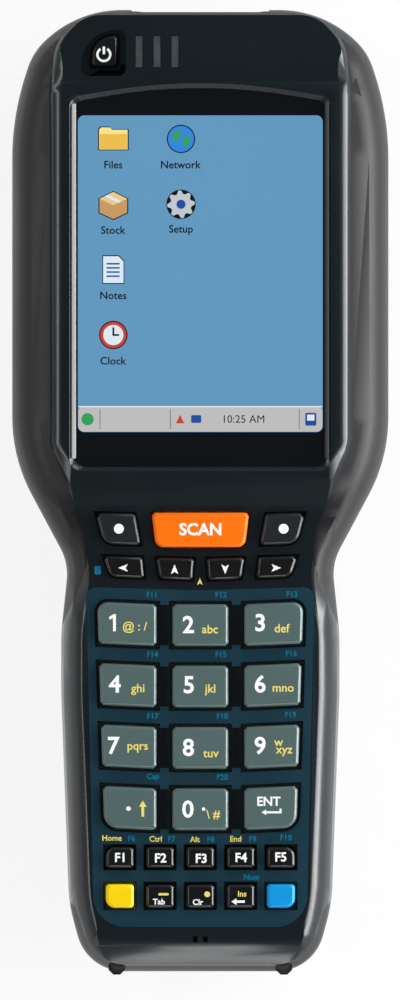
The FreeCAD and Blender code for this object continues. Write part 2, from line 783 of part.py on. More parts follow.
cone = cylinder(speaker_radius, floor_wall, floor_wall + 2.0, 0, speaker_y)
pieces["speaker"] = cone.fuse(octagon(5.0, floor_wall + 2.0, floor_wall + 4.4, 0, speaker_y))
mic_boot = cylinder(2.2, keypad_top - front_wall - 3.0, keypad_top, 0, base_slope_y + 1.0)
pieces["microphone"] = mic_boot.common(under_front(front_wall + 0.02))

battery_low = door_inset + door_thickness + battery_gap
battery_high = door_inset + bay_height - battery_gap
battery_corners = [(-bay_half_width + battery_gap, bay_top_y - 5.0, 2.0),
                   (bay_half_width - battery_gap, bay_top_y - 5.0, 2.0),
                   (bay_half_width - battery_gap, bay_base_y + 1.6, 2.0),
                   (-bay_half_width + battery_gap, bay_base_y + 1.6, 2.0)]
pieces["battery_pack"] = prism(battery_corners, battery_low, battery_high)
contact_block = box(-7.0, bay_top_y - 4.7, 7.0, 7.0, bay_top_y, 13.0)
blade_slots = [box(x - 0.6, bay_top_y - 5.5, 8.0, x + 0.6, bay_top_y - 3.7, 12.0) for x in (-4.5, -1.5, 1.5, 4.5)]
pieces["battery_contacts"] = contact_block.cut(blade_slots)

dock = box(-dock_half_width, base_y + 0.2, dock_z - dock_height / 2, dock_half_width, base_y + 9.0,
           dock_z + dock_height / 2)
pad_slots = [box(x - 0.8, base_y, dock_z - 1.6, x + 0.8, base_y + 0.6, dock_z + 1.6)
             for x in (-7.0, -4.2, -1.4, 1.4, 4.2, 7.0)]
pieces["dock_connector"] = dock.cut(pad_slots)

screws = []
for x, y in screw_places:
    head = octagon(screw_head_radius, screw_seat_z - screw_head_height, screw_seat_z, x, y)
    shank = octagon(screw_shank_radius, screw_seat_z, screw_seat_z + screw_length, x, y)
    socket = square(0.8, screw_seat_z - screw_head_height - 1, screw_seat_z - screw_head_height + 0.8, x, y)
    screws.append(head.fuse(shank).cut(socket).removeSplitter())
pieces["housing_screws"] = Part.makeCompound(screws)
pieces["housing_gasket"] = gasket_ring(parting_z - 1.0, parting_z).cut(
    scan_opening(seat_gap, nose_y - 12.0, nose_y + 5.0))

door_half = bay_half_width - running_gap
door_low = bay_base_y + running_gap
door = prism([(-door_half, hinge_y - hinge_radius, 0.3), (door_half, hinge_y - hinge_radius, 0.3),
              (door_half, door_low, 2.0), (-door_half, door_low, 2.0)], door_inset, door_inset + door_thickness)
knuckle_half = bay_half_width - 3.5
knuckle = Part.makeCylinder(hinge_radius, 2 * knuckle_half, v(-knuckle_half, hinge_y, hinge_z), v(1, 0, 0))
web = box(-knuckle_half, hinge_y - hinge_radius - 0.5, door_inset + 0.4, knuckle_half, hinge_y, hinge_z)
tongue = box(-4.0, door_low, door_inset + door_thickness - 0.5, 4.0, door_low + 1.0, door_inset + door_thickness + 2.4)
door = door.fuse([knuckle, web, tongue])
grip_ribs = [box(-5.0, door_low + 4.0 + 1.6 * n, -1.0, 5.0, door_low + 4.8 + 1.6 * n, door_inset + 0.4)
             for n in range(4)]
pin_hole = Part.makeCylinder(hinge_pin_radius + seat_gap, 4 * bay_half_width,
                             v(-2 * bay_half_width, hinge_y, hinge_z), v(1, 0, 0))
pieces["battery_door"] = door.cut(grip_ribs + [pin_hole])
pieces["door_hinge_pin"] = Part.makeCylinder(hinge_pin_radius, 2 * bay_half_width + 1.4,
                                             v(-bay_half_width - 0.7, hinge_y, hinge_z), v(1, 0, 0))

for name in keys:
    pieces[name] = make_key(name)

os.makedirs("parts", exist_ok=True)
for name, shape in pieces.items():
    solids = shape.Solids
    if not solids or not shape.isValid():
        print("check", name, len(solids), shape.isValid())
    shape.exportStep("parts/%s.step" % name)
    size = shape.BoundBox
    print("%-18s solids %d  %.1f x %.1f x %.1f  z %.2f..%.2f" % (
        name, len(solids), size.XLength, size.YLength, size.ZLength, size.ZMin, size.ZMax))
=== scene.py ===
"""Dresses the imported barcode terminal: moulded shells, rubber, keycaps and print, the lit display, a studio.

Places are in millimetres in the tables and in metres in the meshes. The front face is up (+Z) and the
scanning end is at +Y.
"""

import json
import math

import bpy
from bpy.props import FloatProperty, FloatVectorProperty, IntProperty, PointerProperty
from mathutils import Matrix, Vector

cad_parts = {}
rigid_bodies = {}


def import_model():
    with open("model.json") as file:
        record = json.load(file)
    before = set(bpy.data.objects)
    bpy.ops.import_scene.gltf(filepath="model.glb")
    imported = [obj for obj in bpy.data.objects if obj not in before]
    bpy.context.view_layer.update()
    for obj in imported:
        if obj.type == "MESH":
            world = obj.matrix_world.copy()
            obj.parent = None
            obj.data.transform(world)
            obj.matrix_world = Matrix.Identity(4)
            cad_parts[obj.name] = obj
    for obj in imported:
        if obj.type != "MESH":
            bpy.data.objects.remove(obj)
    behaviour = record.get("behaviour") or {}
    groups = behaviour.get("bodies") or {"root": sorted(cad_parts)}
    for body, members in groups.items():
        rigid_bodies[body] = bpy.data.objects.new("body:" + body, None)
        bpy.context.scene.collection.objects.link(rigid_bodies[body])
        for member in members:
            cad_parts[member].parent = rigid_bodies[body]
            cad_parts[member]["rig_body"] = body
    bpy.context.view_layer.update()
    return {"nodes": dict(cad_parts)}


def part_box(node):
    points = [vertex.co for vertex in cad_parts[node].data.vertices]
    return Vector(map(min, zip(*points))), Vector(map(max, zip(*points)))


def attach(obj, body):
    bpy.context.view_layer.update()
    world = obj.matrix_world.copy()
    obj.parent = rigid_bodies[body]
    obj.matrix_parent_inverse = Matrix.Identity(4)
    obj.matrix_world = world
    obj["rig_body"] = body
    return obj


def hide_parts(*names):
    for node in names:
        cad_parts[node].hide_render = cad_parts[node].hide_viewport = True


bl_info = {
    "name": "Barcode terminal",
    "version": (1, 0, 0),
    "blender": (4, 5, 0),
    "location": "3D View > Sidebar > Terminal",
    "description": "Surfaces, print, display and studio for the portable barcode terminal",
    "category": "Object",
}

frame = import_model()

MM = 0.001
KEY_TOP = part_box("key_5")[1].z / MM
PLATE_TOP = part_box("keypad_faceplate")[1].z / MM
PANEL_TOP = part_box("touch_panel")[1].z / MM
POWER_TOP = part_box("power_key")[1].z / MM
CAP_SHARE = 0.729  # height of a capital in a text of size 1

NUMBER_KEYS = ["key_1", "key_2", "key_3", "key_4", "key_5", "key_6",
               "key_7", "key_8", "key_9", "key_point", "key_0", "key_enter"]
BLACK_KEYS = ["power_key", "soft_key_left", "soft_key_right",
              "arrow_key_left", "arrow_key_up", "arrow_key_down", "arrow_key_right",
              "key_f1", "key_f2", "key_f3", "key_f4", "key_f5", "tab_key", "escape_key", "backspace_key"]

# Lettering of the keycaps: key, text, X, Y, the size it takes, the colour it takes
KEY_LETTERING = [
    ("key_1", "@ : /", -14.2, -29.5, "letter", "yellow"),
    ("key_2", "2", -2.6, -28.9, "digit", "white"), ("key_2", "abc", 2.1, -29.9, "letter", "yellow"),
    ("key_3", "3", 13.0, -28.5, "digit", "white"), ("key_3", "def", 17.8, -29.7, "letter", "yellow"),
    ("key_4", "4", -18.6, -41.8, "digit", "white"), ("key_4", "ghi", -13.6, -43.0, "letter", "yellow"),
    ("key_5", "5", -2.5, -42.0, "digit", "white"), ("key_5", "jkl", 2.1, -43.1, "letter", "yellow"),
    ("key_6", "6", 13.0, -41.8, "digit", "white"), ("key_6", "mno", 18.0, -42.9, "letter", "yellow"),
    ("key_7", "7", -18.8, -55.2, "digit", "white"), ("key_7", "pqrs", -13.6, -55.8, "letter", "yellow"),
    ("key_8", "8", -2.6, -55.6, "digit", "white"), ("key_8", "tuv", 2.3, -57.0, "letter", "yellow"),
    ("key_9", "9", 13.0, -55.2, "digit", "white"), ("key_9", "w", 17.0, -54.7, "letter", "yellow"),
    ("key_9", "xyz", 18.2, -56.6, "letter", "yellow"),
    ("key_0", "0", -2.7, -69.0, "digit", "white"), ("key_0", "\\ #", 2.8, -70.2, "letter", "yellow"),
    ("key_enter", "ENT", 14.9, -67.3, "word", "white"),
    ("key_f1", "F1", -17.5, -79.5, "word", "white"), ("key_f2", "F2", -8.6, -79.6, "word", "white"),
    ("key_f3", "F3", 0.2, -79.7, "word", "white"), ("key_f4", "F4", 8.9, -79.5, "word", "white"),
    ("key_f5", "F5", 17.5, -79.4, "word", "white"),
    ("tab_key", "Tab", -9.0, -89.1, "legend", "white"), ("escape_key", "Clr", -0.5, -89.2, "legend", "white"),
    ("backspace_key", "Ins", 9.1, -87.4, "legend", "yellow"),
    ("scan_key", "SCAN", 0.0, -8.2, "scan", "white"),
]

# Lettering of the faceplate: text, X, Y, colour
PLATE_LETTERING = [
    ("F11", -10.6, -22.4, "blue"), ("F12", 4.5, -22.4, "blue"), ("F13", 19.9, -22.3, "blue"),
    ("F14", -10.4, -35.4, "blue"), ("F15", 4.5, -35.4, "blue"), ("F16", 19.8, -35.2, "blue"),
    ("F17", -10.3, -48.8, "blue"), ("F18", 4.8, -48.8, "blue"), ("F19", 19.6, -48.5, "blue"),
    ("Cap", -10.3, -62.1, "blue"), ("F20", 4.8, -62.1, "blue"),
    ("Home", -19.2, -75.3, "yellow"), ("F6", -14.9, -75.4, "blue"), ("Ctrl", -9.7, -75.5, "yellow"),
    ("F7", -6.2, -75.5, "blue"), ("Alt", -1.2, -75.6, "yellow"), ("F8", 2.3, -75.6, "blue"),
    ("End", 7.7, -75.5, "yellow"), ("F9", 11.4, -75.5, "blue"), ("F10", 18.6, -75.2, "blue"),
    ("Num", 11.1, -83.8, "blue"),
]

# Nodes that keep their CAD mesh, and the record slot that each takes
SOLE_SLOTS = {
    "scan_window": "window_red", "display_gasket": "gasket", "housing_gasket": "gasket",
    "touch_panel": "panel_glass", "lcd_module": "module_metal", "scan_engine": "module_metal",
    "light_pipes": "light_pipe", "status_board": "circuit_board", "keypad_board": "circuit_board",
    "main_board": "circuit_board", "keypad_membrane": "rubber", "speaker": "case_plastic",
    "microphone": "case_plastic", "battery_pack": "battery_wrap", "battery_contacts": "case_plastic",
    "dock_connector": "case_plastic", "housing_screws": "screw_steel", "door_hinge_pin": "screw_steel",
}

# Outlines of the marks that no letter gives, in millimetres about their middle
FLAGGED_ONE = [(0.75, -1.87), (0.75, 1.87), (0.3, 1.87), (-0.75, 1.2), (-0.6, 0.62), (0.13, 1.05),
               (0.13, -1.87)]
NOTCHED_ARROW = [(1.15, 0.0), (-0.95, 0.82), (-0.45, 0.0), (-0.95, -0.82)]
SHAFT_ARROW = [(1.75, 0.0), (0.4, 0.85), (0.4, 0.3), (-1.75, 0.3), (-1.75, -0.3), (0.4, -0.3), (0.4, -0.85)]
HOOKED_ARROW = [(-1.6, 0.0), (-0.6, 0.6), (-0.6, 0.22), (2.3, 0.22), (2.3, 0.8), (2.75, 0.8), (2.75, -0.22),
                (-0.6, -0.22), (-0.6, -0.6)]
BOLD = {"digit": 0.03, "word": 0.035, "scan": 0.04, "letter": 0.02, "legend": 0.03}  # share of the height

# Recess of the display, in millimetres
SURROUND_HEIGHT = 42.0
SURROUND_ENDS = (5.0, 88.5)
SURROUND_HALF_WIDTH = 28.0
LIP_X = 27.6
LIP_END = 84.2
LIP_HEIGHT = 42.3
LIP_LENGTH = 77.0

# The lit picture, in millimetres: its left, right, low and high edges, the top of its bar, the thickness of a
# layer, and how far the labels are below their icons
PICTURE_EDGES = (-26.6, 26.6, 12.9, 81.7)
BAR_TOP = 18.55
LAYER = 0.012
LABEL_DROP = 5.6
ICONS = {"folder": ("Files", -18.9, 76.6), "box": ("Stock", -18.9, 62.4), "sheet": ("Notes", -18.9, 48.2),
         "globe": ("Network", -4.2, 76.6), "gear": ("Setup", -4.2, 62.4), "clock": ("Clock", -18.9, 34.0)}
FOLDER = [(-3.1, 2.0), (-2.7, 2.5), (-0.7, 2.5), (-0.3, 2.0), (3.1, 2.0), (3.1, -2.3), (-3.1, -2.3)]
FOLDER_FRONT = [(-3.1, 1.1), (3.1, 1.1), (3.1, -2.3), (-3.1, -2.3)]
BOX = [(-3.0, 1.2), (0.0, 2.7), (3.0, 1.2), (3.0, -1.8), (0.0, -3.2), (-3.0, -1.8)]
BOX_LID = [(-3.0, 1.2), (0.0, 2.7), (3.0, 1.2), (0.0, -0.2)]
BOX_TAPE = [(-1.9, 1.75), (-1.2, 2.1), (1.8, 0.6), (1.1, 0.3)]
SHEET = [(-2.2, 2.9), (1.1, 2.9), (2.2, 1.8), (2.2, -2.9), (-2.2, -2.9)]
WEST_LAND = [(-1.9, 1.2), (-0.4, 2.1), (0.3, 1.0), (-0.6, 0.2), (-0.9, -0.9), (-1.8, 0.1)]
EAST_LAND = [(0.5, 0.3), (2.1, 0.7), (1.9, -0.9), (0.8, -2.0), (0.3, -0.8)]
TRIANGLE = [(-0.9, -0.9), (0.9, -0.9), (0.0, 1.0)]

# Colours of the picture, as they are seen
PALE = (0.86, 0.92, 0.95)
BLUE = (0.12, 0.3, 0.62)
GREEN = (0.2, 0.62, 0.35)
RED = (0.8, 0.25, 0.18)
INK = (0.03, 0.05, 0.08)

# The studio, in metres
FLOOR_RADIUS = 2.5
FLOOR_HEIGHT = -0.0003
LAMP_TARGET = Vector((0, 0, 0.03))
CAMERA_TARGET = Vector((-0.00007, -0.00185, 0.0415))
SENSOR_WIDTH = 36.0  # millimetres

# Finish of each record slot: a colour property or a plain colour, the least and greatest roughness, the scale
# of the grain, its height in millimetres, and what else differs from a plain moulding
FINISHES = {
    "bezel_plastic": ("bezel", 0.25, 0.29, 3200.0, 0.003, {"tint": 1.2, "mottle": 45.0, "specular": 0.45}),
    "case_plastic": ("case", 0.5, 0.62, 1800.0, 0.02, {"tint": 1.3}),
    "rubber": ("rubber", 0.46, 0.54, 2600.0, 0.012, {"mottle": 35.0, "specular": 0.32}),
    "faceplate": ("faceplate", 0.28, 0.36, 3600.0, 0.003, {"tint": 1.3, "mottle": 50.0, "specular": 0.4}),
    "key_grey": ("key_grey", 0.25, 0.28, 3000.0, 0.003, {"tint": 1.05}),
    "key_black": ("key_black", 0.25, 0.3, 3000.0, 0.003, {}),
    "key_orange": ("key_orange", 0.35, 0.45, 3000.0, 0.003, {"tint": 1.05, "specular": 0.3}),
    "key_yellow": ("key_yellow", 0.35, 0.45, 3000.0, 0.003, {"tint": 1.04, "specular": 0.3}),
    "key_blue": ("key_blue", 0.35, 0.45, 3000.0, 0.003, {"tint": 1.08, "specular": 0.3}),
    "panel_glass": ((0.01, 0.012, 0.014, 1), 0.06, 0.1, 2500.0, 0.0, {"tint": 1.1, "coat": 0.4}),
    "window_red": ("window", 0.05, 0.09, 2500.0, 0.0, {"tint": 1.15, "coat": 0.6}),
    "light_pipe": ((0.02, 0.026, 0.028, 1), 0.25, 0.4, 1500.0, 0.01, {"tint": 3.2, "mottle": 260.0}),
    "gasket": ((0.006, 0.006, 0.007, 1), 0.7, 0.8, 1800.0, 0.02, {}),
    "circuit_board": ((0.01, 0.07, 0.03, 1), 0.4, 0.5, 900.0, 0.01, {}),
    "module_metal": ((0.5, 0.5, 0.5, 1), 0.35, 0.5, 1500.0, 0.0, {"metallic": 1.0}),
    "battery_wrap": ((0.03, 0.03, 0.034, 1), 0.35, 0.45, 1200.0, 0.01, {}),
    "screw_steel": ((0.32, 0.32, 0.33, 1), 0.28, 0.4, 2200.0, 0.004, {"metallic": 1.0}),
}


def length(name, description, millimetres):
    """A length property whose default is given in millimetres."""
    return FloatProperty(name=name, description=description, default=millimetres * MM,
                         subtype="DISTANCE", unit="LENGTH")


def lamp_power(name, description, watts):
    """A property for the power of a lamp."""
    return FloatProperty(name=name, description=description, default=watts, subtype="POWER", unit="POWER")


def paint(name, description, red, green, blue):
    """A colour property whose default is given as it is seen, 0 to 255."""
    return FloatVectorProperty(name=name, description=description, size=3, subtype="COLOR_GAMMA",
                               min=0.0, max=1.0, default=(red / 255, green / 255, blue / 255))


class TerminalSizes(bpy.types.PropertyGroup):
    """Sizes of the print and of the rounded edges."""
    digit: length("Digit height", "Height of the large digits of the number keys", 3.75)
    letter: length("Letter height", "Capital height of the small letters beside the digits", 1.9)
    word: length("Word height", "Height of the capitals on the function and enter keys", 2.0)
    legend: length("Legend height", "Height of the capitals printed on the faceplate", 1.25)
    scan: length("Scan word height", "Height of the word on the large key", 2.6)
    print_depth: length("Print depth", "How far the print stands above its surface", 0.02)
    key_edge: length("Key edge", "Radius that rounds the edges of the keycaps", 0.16)
    lip: length("Display lip", "Half the width of the lip down each side of the display", 0.6)


class TerminalColours(bpy.types.PropertyGroup):
    """Colours of the finishes and of the print."""
    bezel: paint("Bezel", "Hard plastic of the front", 13, 22, 26)
    surround: paint("Display surround", "Gloss panel round the display", 8, 12, 16)
    case: paint("Back case", "Hard plastic of the back and the door", 34, 38, 42)
    rubber: paint("Rubber", "Overmould round the head and the base", 22, 22, 25)
    faceplate: paint("Faceplate", "Film between the keys", 18, 48, 60)
    key_grey: paint("Number keys", "Caps of the twelve number keys", 79, 98, 98)
    key_black: paint("Black keys", "Caps of the small dark keys", 12, 13, 15)
    soft_key: paint("Soft keys", "Caps of the two keys beside the large one", 26, 30, 34)
    key_orange: paint("Scan key", "Cap of the large key", 247, 112, 4)
    key_yellow: paint("Yellow key", "Cap of the yellow shift key", 240, 206, 2)
    key_blue: paint("Blue key", "Cap of the blue shift key", 6, 142, 208)
    white: paint("White print", "Digits, arrows and words", 244, 247, 247)
    yellow: paint("Yellow print", "Letters that the yellow key calls up", 226, 212, 110)
    blue: paint("Blue print", "Labels that the blue key calls up", 9, 108, 142)
    screen: paint("Screen", "Desktop of the lit display", 98, 151, 190)
    task_bar: paint("Task bar", "Bar along the bottom of the display", 189, 189, 189)
    window: paint("Scan window", "Dark red window of the scanner", 70, 8, 12)


class StudioSettings(bpy.types.PropertyGroup):
    """Lamps, floor and camera."""
    right_lamp: lamp_power("Right lamp", "Power of the strip lamp to the right", 5.0)
    left_lamp: lamp_power("Left lamp", "Power of the strip lamp to the left", 2.6)
    low_lamp: lamp_power("Low right lamp", "Power of the lamp that lights the right-hand edges", 7.5)
    key_lamp: lamp_power("High lamp", "Power of the large soft lamp above the scanning end", 3.6)
    base_lamp: lamp_power("Base lamp", "Power of the lamp that lights the edge of the base", 1.6)
    horizon: FloatProperty(name="Horizon", description="Brightness of the room at the height of the object",
                           default=0.5, min=0.0)
    zenith: FloatProperty(name="Ceiling", description="Brightness of the room overhead", default=0.1, min=0.0)
    picture_height: length("Picture height", "Height of the picture at the front face", 217.2)
    lens: FloatProperty(name="Lens", description="Focal length of the camera", default=500.0,
                        subtype="DISTANCE_CAMERA")
    ring_steps: IntProperty(name="Ring steps", description="Straight pieces in the ring of the power mark",
                            default=40, min=12)


def linear(colour):
    """A seen colour as the renderer's own numbers, with alpha."""
    return tuple(c / 12.92 if c <= 0.04045 else ((c + 0.055) / 1.055) ** 2.4 for c in colour) + (1.0,)


def scaled(colour, factor):
    """The colour made brighter or darker by this factor, with alpha."""
    return tuple(min(1.0, c * factor) for c in colour[:3]) + (1.0,)


# Objects and meshes

def deselect():
    """Leaves nothing selected, as each operator acts on all that is."""
    bpy.ops.object.select_all(action="DESELECT")


def select_only(*objects):
    """Selects these objects and no other, the first of them active."""
    deselect()
    for obj in objects:
        obj.select_set(True)
    bpy.context.view_layer.objects.active = objects[0]


def join(objects):
    """Makes one object of these."""
    select_only(*objects)
    if len(objects) > 1:
        bpy.ops.object.join()
    return bpy.context.view_layer.objects.active


def settle(obj, name, material, body):
    """Puts the piece's place into its mesh, gives it its finish and lets it ride on its body."""
    select_only(obj)
    bpy.ops.object.transform_apply(location=True, rotation=True, scale=True)
    obj.name = name
    obj.data.name = name
    obj.data.materials.clear()
    obj.data.materials.append(material)
    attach(obj, body)


def keep_flats(obj, least=25.0):
    """Lets the flats of at least this many square millimetres set the shading along their edges."""
    flats = {}
    for face in obj.data.polygons:
        way = tuple(round(part, 2) for part in face.normal)
        flats.setdefault(way, []).append(face)
    for faces in flats.values():
        flat = sum(face.area for face in faces) > least * MM * MM
        for face in faces:
            face.select = flat
    select_only(obj)
    bpy.ops.object.mode_set(mode="EDIT")
    bpy.ops.mesh.select_mode(type="FACE")
    bpy.ops.mesh.mod_weighted_strength(set=True, face_strength="STRONG")
    bpy.ops.mesh.select_all(action="INVERT")
    bpy.ops.mesh.mod_weighted_strength(set=True, face_strength="WEAK")
    bpy.ops.mesh.select_mode(type="VERT")
    bpy.ops.object.mode_set(mode="OBJECT")


def calm(obj, most):
    """Gives a corner whose shading strays from its face by more than this many degrees the face's own."""
    normals = [corner.vector.copy() for corner in obj.data.corner_normals]
    limit = math.cos(math.radians(most))
    for face in obj.data.polygons:
        for loop in face.loop_indices:
            if normals[loop].dot(face.normal) < limit:
                normals[loop] = face.normal.copy()
    obj.data.normals_split_custom_set(normals)


def even_rise(obj, reach=1.2):
    """Shades the front face by its rise along Y alone, so that the triangles of its curve don't show."""
    mesh = obj.data
    strips = [face for face in mesh.polygons if face.normal.z > 0.95 and abs(face.normal.x) < 0.03]
    spans = []
    for face in strips:
        ys = [mesh.vertices[v].co.y for v in face.vertices]
        spans.append((min(ys) - reach * MM, max(ys) + reach * MM, face.area, face.normal.y / face.normal.z))
    normals = [corner.vector.copy() for corner in mesh.corner_normals]
    known = {}
    for face in strips:
        if face.normal.z > 0.9999:
            continue
        for loop in face.loop_indices:
            y = mesh.vertices[mesh.loops[loop].vertex_index].co.y
            if y not in known:
                near = [(area, rise) for low, high, area, rise in spans if low <= y <= high and rise]
                known[y] = sum(area * rise for area, rise in near) / sum(area for area, rise in near)
            normals[loop] = Vector((0.0, known[y], 1.0)).normalized()
    mesh.normals_split_custom_set(normals)


def moulded_copy(node, material, edge=0.0, angle=18.0, flats=True):
    """A merged copy of a CAD node, shaded as one moulding, that stands for the node."""
    source = frame["nodes"][node]
    body = source["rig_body"]
    obj = bpy.data.objects.new(node + "_moulding", source.data.copy())
    bpy.context.scene.collection.objects.link(obj)
    select_only(obj)
    bpy.ops.object.mode_set(mode="EDIT")
    bpy.ops.mesh.select_all(action="SELECT")
    bpy.ops.mesh.remove_doubles(threshold=0.004 * MM)
    if edge:
        bpy.ops.mesh.dissolve_limited(angle_limit=math.radians(0.4))
    bpy.ops.object.mode_set(mode="OBJECT")
    if edge:
        bevel = obj.modifiers.new("Edge", "BEVEL")
        bevel.width = edge
        bevel.segments = 2
        bevel.limit_method = "ANGLE"
        bevel.angle_limit = math.radians(30)
        bpy.ops.object.modifier_apply(modifier=bevel.name)
    bpy.ops.object.shade_smooth_by_angle(angle=math.radians(angle), keep_sharp_edges=False)
    if flats:
        keep_flats(obj)
    weighted = obj.modifiers.new("Flats", "WEIGHTED_NORMAL")
    weighted.keep_sharp = True
    weighted.use_face_influence = flats
    weighted.mode = "CORNER_ANGLE"
    bpy.ops.object.modifier_apply(modifier=weighted.name)
    calm(obj, angle + 2.0)
    settle(obj, node + "_moulding", material, body)
    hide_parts(node)
    return obj


def cut_out(name, points, low, high):
    """A flat shape with this outline in millimetres, clockwise or not, from height low to height high."""
    deselect()
    bpy.ops.mesh.primitive_circle_add(vertices=len(points), radius=1, fill_type="NGON", location=(0, 0, 0))
    obj = bpy.context.active_object
    obj.name = name
    for vertex, point in zip(obj.data.vertices, points):
        vertex.co = Vector((point[0], point[1], low)) * MM
    bpy.ops.object.mode_set(mode="EDIT")
    bpy.ops.mesh.select_all(action="SELECT")
    bpy.ops.mesh.quads_convert_to_tris(ngon_method="BEAUTY")
    bpy.ops.mesh.extrude_region_move(TRANSFORM_OT_translate={"value": (0, 0, (high - low) * MM)})
    bpy.ops.mesh.select_all(action="SELECT")
    bpy.ops.mesh.normals_make_consistent(inside=False)
    bpy.ops.object.mode_set(mode="OBJECT")
    return obj


def rounded(x0, y0, x1, y1, radius, steps=6):
    """Outline of a rectangle with round corners."""
    points = []
    for cx, cy, start in ((x1 - radius, y1 - radius, 0), (x0 + radius, y1 - radius, 90),
                          (x0 + radius, y0 + radius, 180), (x1 - radius, y0 + radius, 270)):
        for n in range(steps + 1):
            angle = math.radians(start + 90 * n / steps)
            points.append((cx + radius * math.cos(angle), cy + radius * math.sin(angle)))
    return points


def disc(x, y, radius, steps=28):
    """Outline of a disc."""
    return [(x + radius * math.cos(math.tau * n / steps), y + radius * math.sin(math.tau * n / steps))
            for n in range(steps)]


def turned(points, x, y, degrees, size=1.0):
    """Outline points turned about the origin, scaled, and carried to X, Y."""
    cos, sin = math.cos(math.radians(degrees)), math.sin(math.radians(degrees))
    return [(x + size * (a * cos - b * sin), y + size * (a * sin + b * cos)) for a, b in points]


def open_ring(x, y, outer, inner, gap, steps):
    """Outline of a ring that is open at its top over the angle gap, in degrees."""
    angles = [math.radians(90 + gap / 2 + (360 - gap) * n / steps) for n in range(steps + 1)]
    return [(x + outer * math.cos(a), y + outer * math.sin(a)) for a in angles] + [
        (x + inner * math.cos(a), y + inner * math.sin(a)) for a in reversed(angles)]


def lettering(text, x, y, capital, low, depth, bold=0.0):
    """Text as a mesh, its middle at X, Y in millimetres; capital and depth are in metres."""
    deselect()
    bpy.ops.object.text_add(location=(0, 0, 0))
    obj = bpy.context.active_object
    obj.data.body = text
    obj.data.size = capital / CAP_SHARE
    obj.data.offset = bold * capital
    obj.data.extrude = depth / 2
    obj.data.resolution_u = 3
    bpy.ops.object.convert(target="MESH")
    obj = bpy.context.active_object
    xs = [v.co.x for v in obj.data.vertices]
    ys = [v.co.y for v in obj.data.vertices]
    middle = Vector(((min(xs) + max(xs)) / 2, (min(ys) + max(ys)) / 2, 0))
    obj.location = Vector((x * MM, y * MM, low * MM + depth / 2)) - middle
    bpy.ops.object.transform_apply(location=True, rotation=True, scale=True)
    return obj


# Materials

def socket(group, name, direction, kind, default=None):
    """Adds an input or output to a node group."""
    made = group.interface.new_socket(name, in_out=direction, socket_type=kind)
    if default is not None:
        made.default_value = default


def moulded_group():
    """Shared surface: a broad change of tone, a fine grain and a roughness that wanders with them."""
    group = bpy.data.node_groups.get("Moulded surface")
    if group:
        return group
    group = bpy.data.node_groups.new("Moulded surface", "ShaderNodeTree")
    socket(group, "Colour", "INPUT", "NodeSocketColor", (0.1, 0.1, 0.1, 1))
    socket(group, "Tint", "INPUT", "NodeSocketColor", (0.1, 0.1, 0.1, 1))
    socket(group, "Mottle scale", "INPUT", "NodeSocketFloat", 60.0)
    socket(group, "Grain scale", "INPUT", "NodeSocketFloat", 2500.0)
    socket(group, "Roughness low", "INPUT", "NodeSocketFloat", 0.3)
    socket(group, "Roughness high", "INPUT", "NodeSocketFloat", 0.4)
    socket(group, "Colour", "OUTPUT", "NodeSocketColor")
    socket(group, "Roughness", "OUTPUT", "NodeSocketFloat")
    socket(group, "Height", "OUTPUT", "NodeSocketFloat")
    nodes, links = group.nodes, group.links
    start = nodes.new("NodeGroupInput")
    end = nodes.new("NodeGroupOutput")
    place = nodes.new("ShaderNodeTexCoord")
    mottle = nodes.new("ShaderNodeTexNoise")
    mottle.inputs["Detail"].default_value = 4.0
    grain = nodes.new("ShaderNodeTexNoise")
    grain.inputs["Detail"].default_value = 2.0
    mix = nodes.new("ShaderNodeMix")
    mix.data_type = "RGBA"
    spread = nodes.new("ShaderNodeMapRange")
    links.new(place.outputs["Object"], mottle.inputs["Vector"])
    links.new(place.outputs["Object"], grain.inputs["Vector"])
    links.new(start.outputs["Mottle scale"], mottle.inputs["Scale"])
    links.new(start.outputs["Grain scale"], grain.inputs["Scale"])
    links.new(mottle.outputs["Fac"], mix.inputs[0])
    links.new(start.outputs["Colour"], mix.inputs[6])
    links.new(start.outputs["Tint"], mix.inputs[7])
    links.new(mix.outputs[2], end.inputs["Colour"])
    links.new(mottle.outputs["Fac"], spread.inputs["Value"])
    links.new(start.outputs["Roughness low"], spread.inputs["To Min"])
    links.new(start.outputs["Roughness high"], spread.inputs["To Max"])
    spread.inputs["From Min"].default_value = 0.3
    spread.inputs["From Max"].default_value = 0.7
    links.new(spread.outputs["Result"], end.inputs["Roughness"])
    links.new(grain.outputs["Fac"], end.inputs["Height"])
    return group


def new_material(name):
    """A new material with its tree and shader, or the one of this name with None for both."""
    material = bpy.data.materials.get(name)
    if material:
        return material, None, None
    material = bpy.data.materials.new(name)
    material.use_nodes = True
    return material, material.node_tree, material.node_tree.nodes["Principled BSDF"]


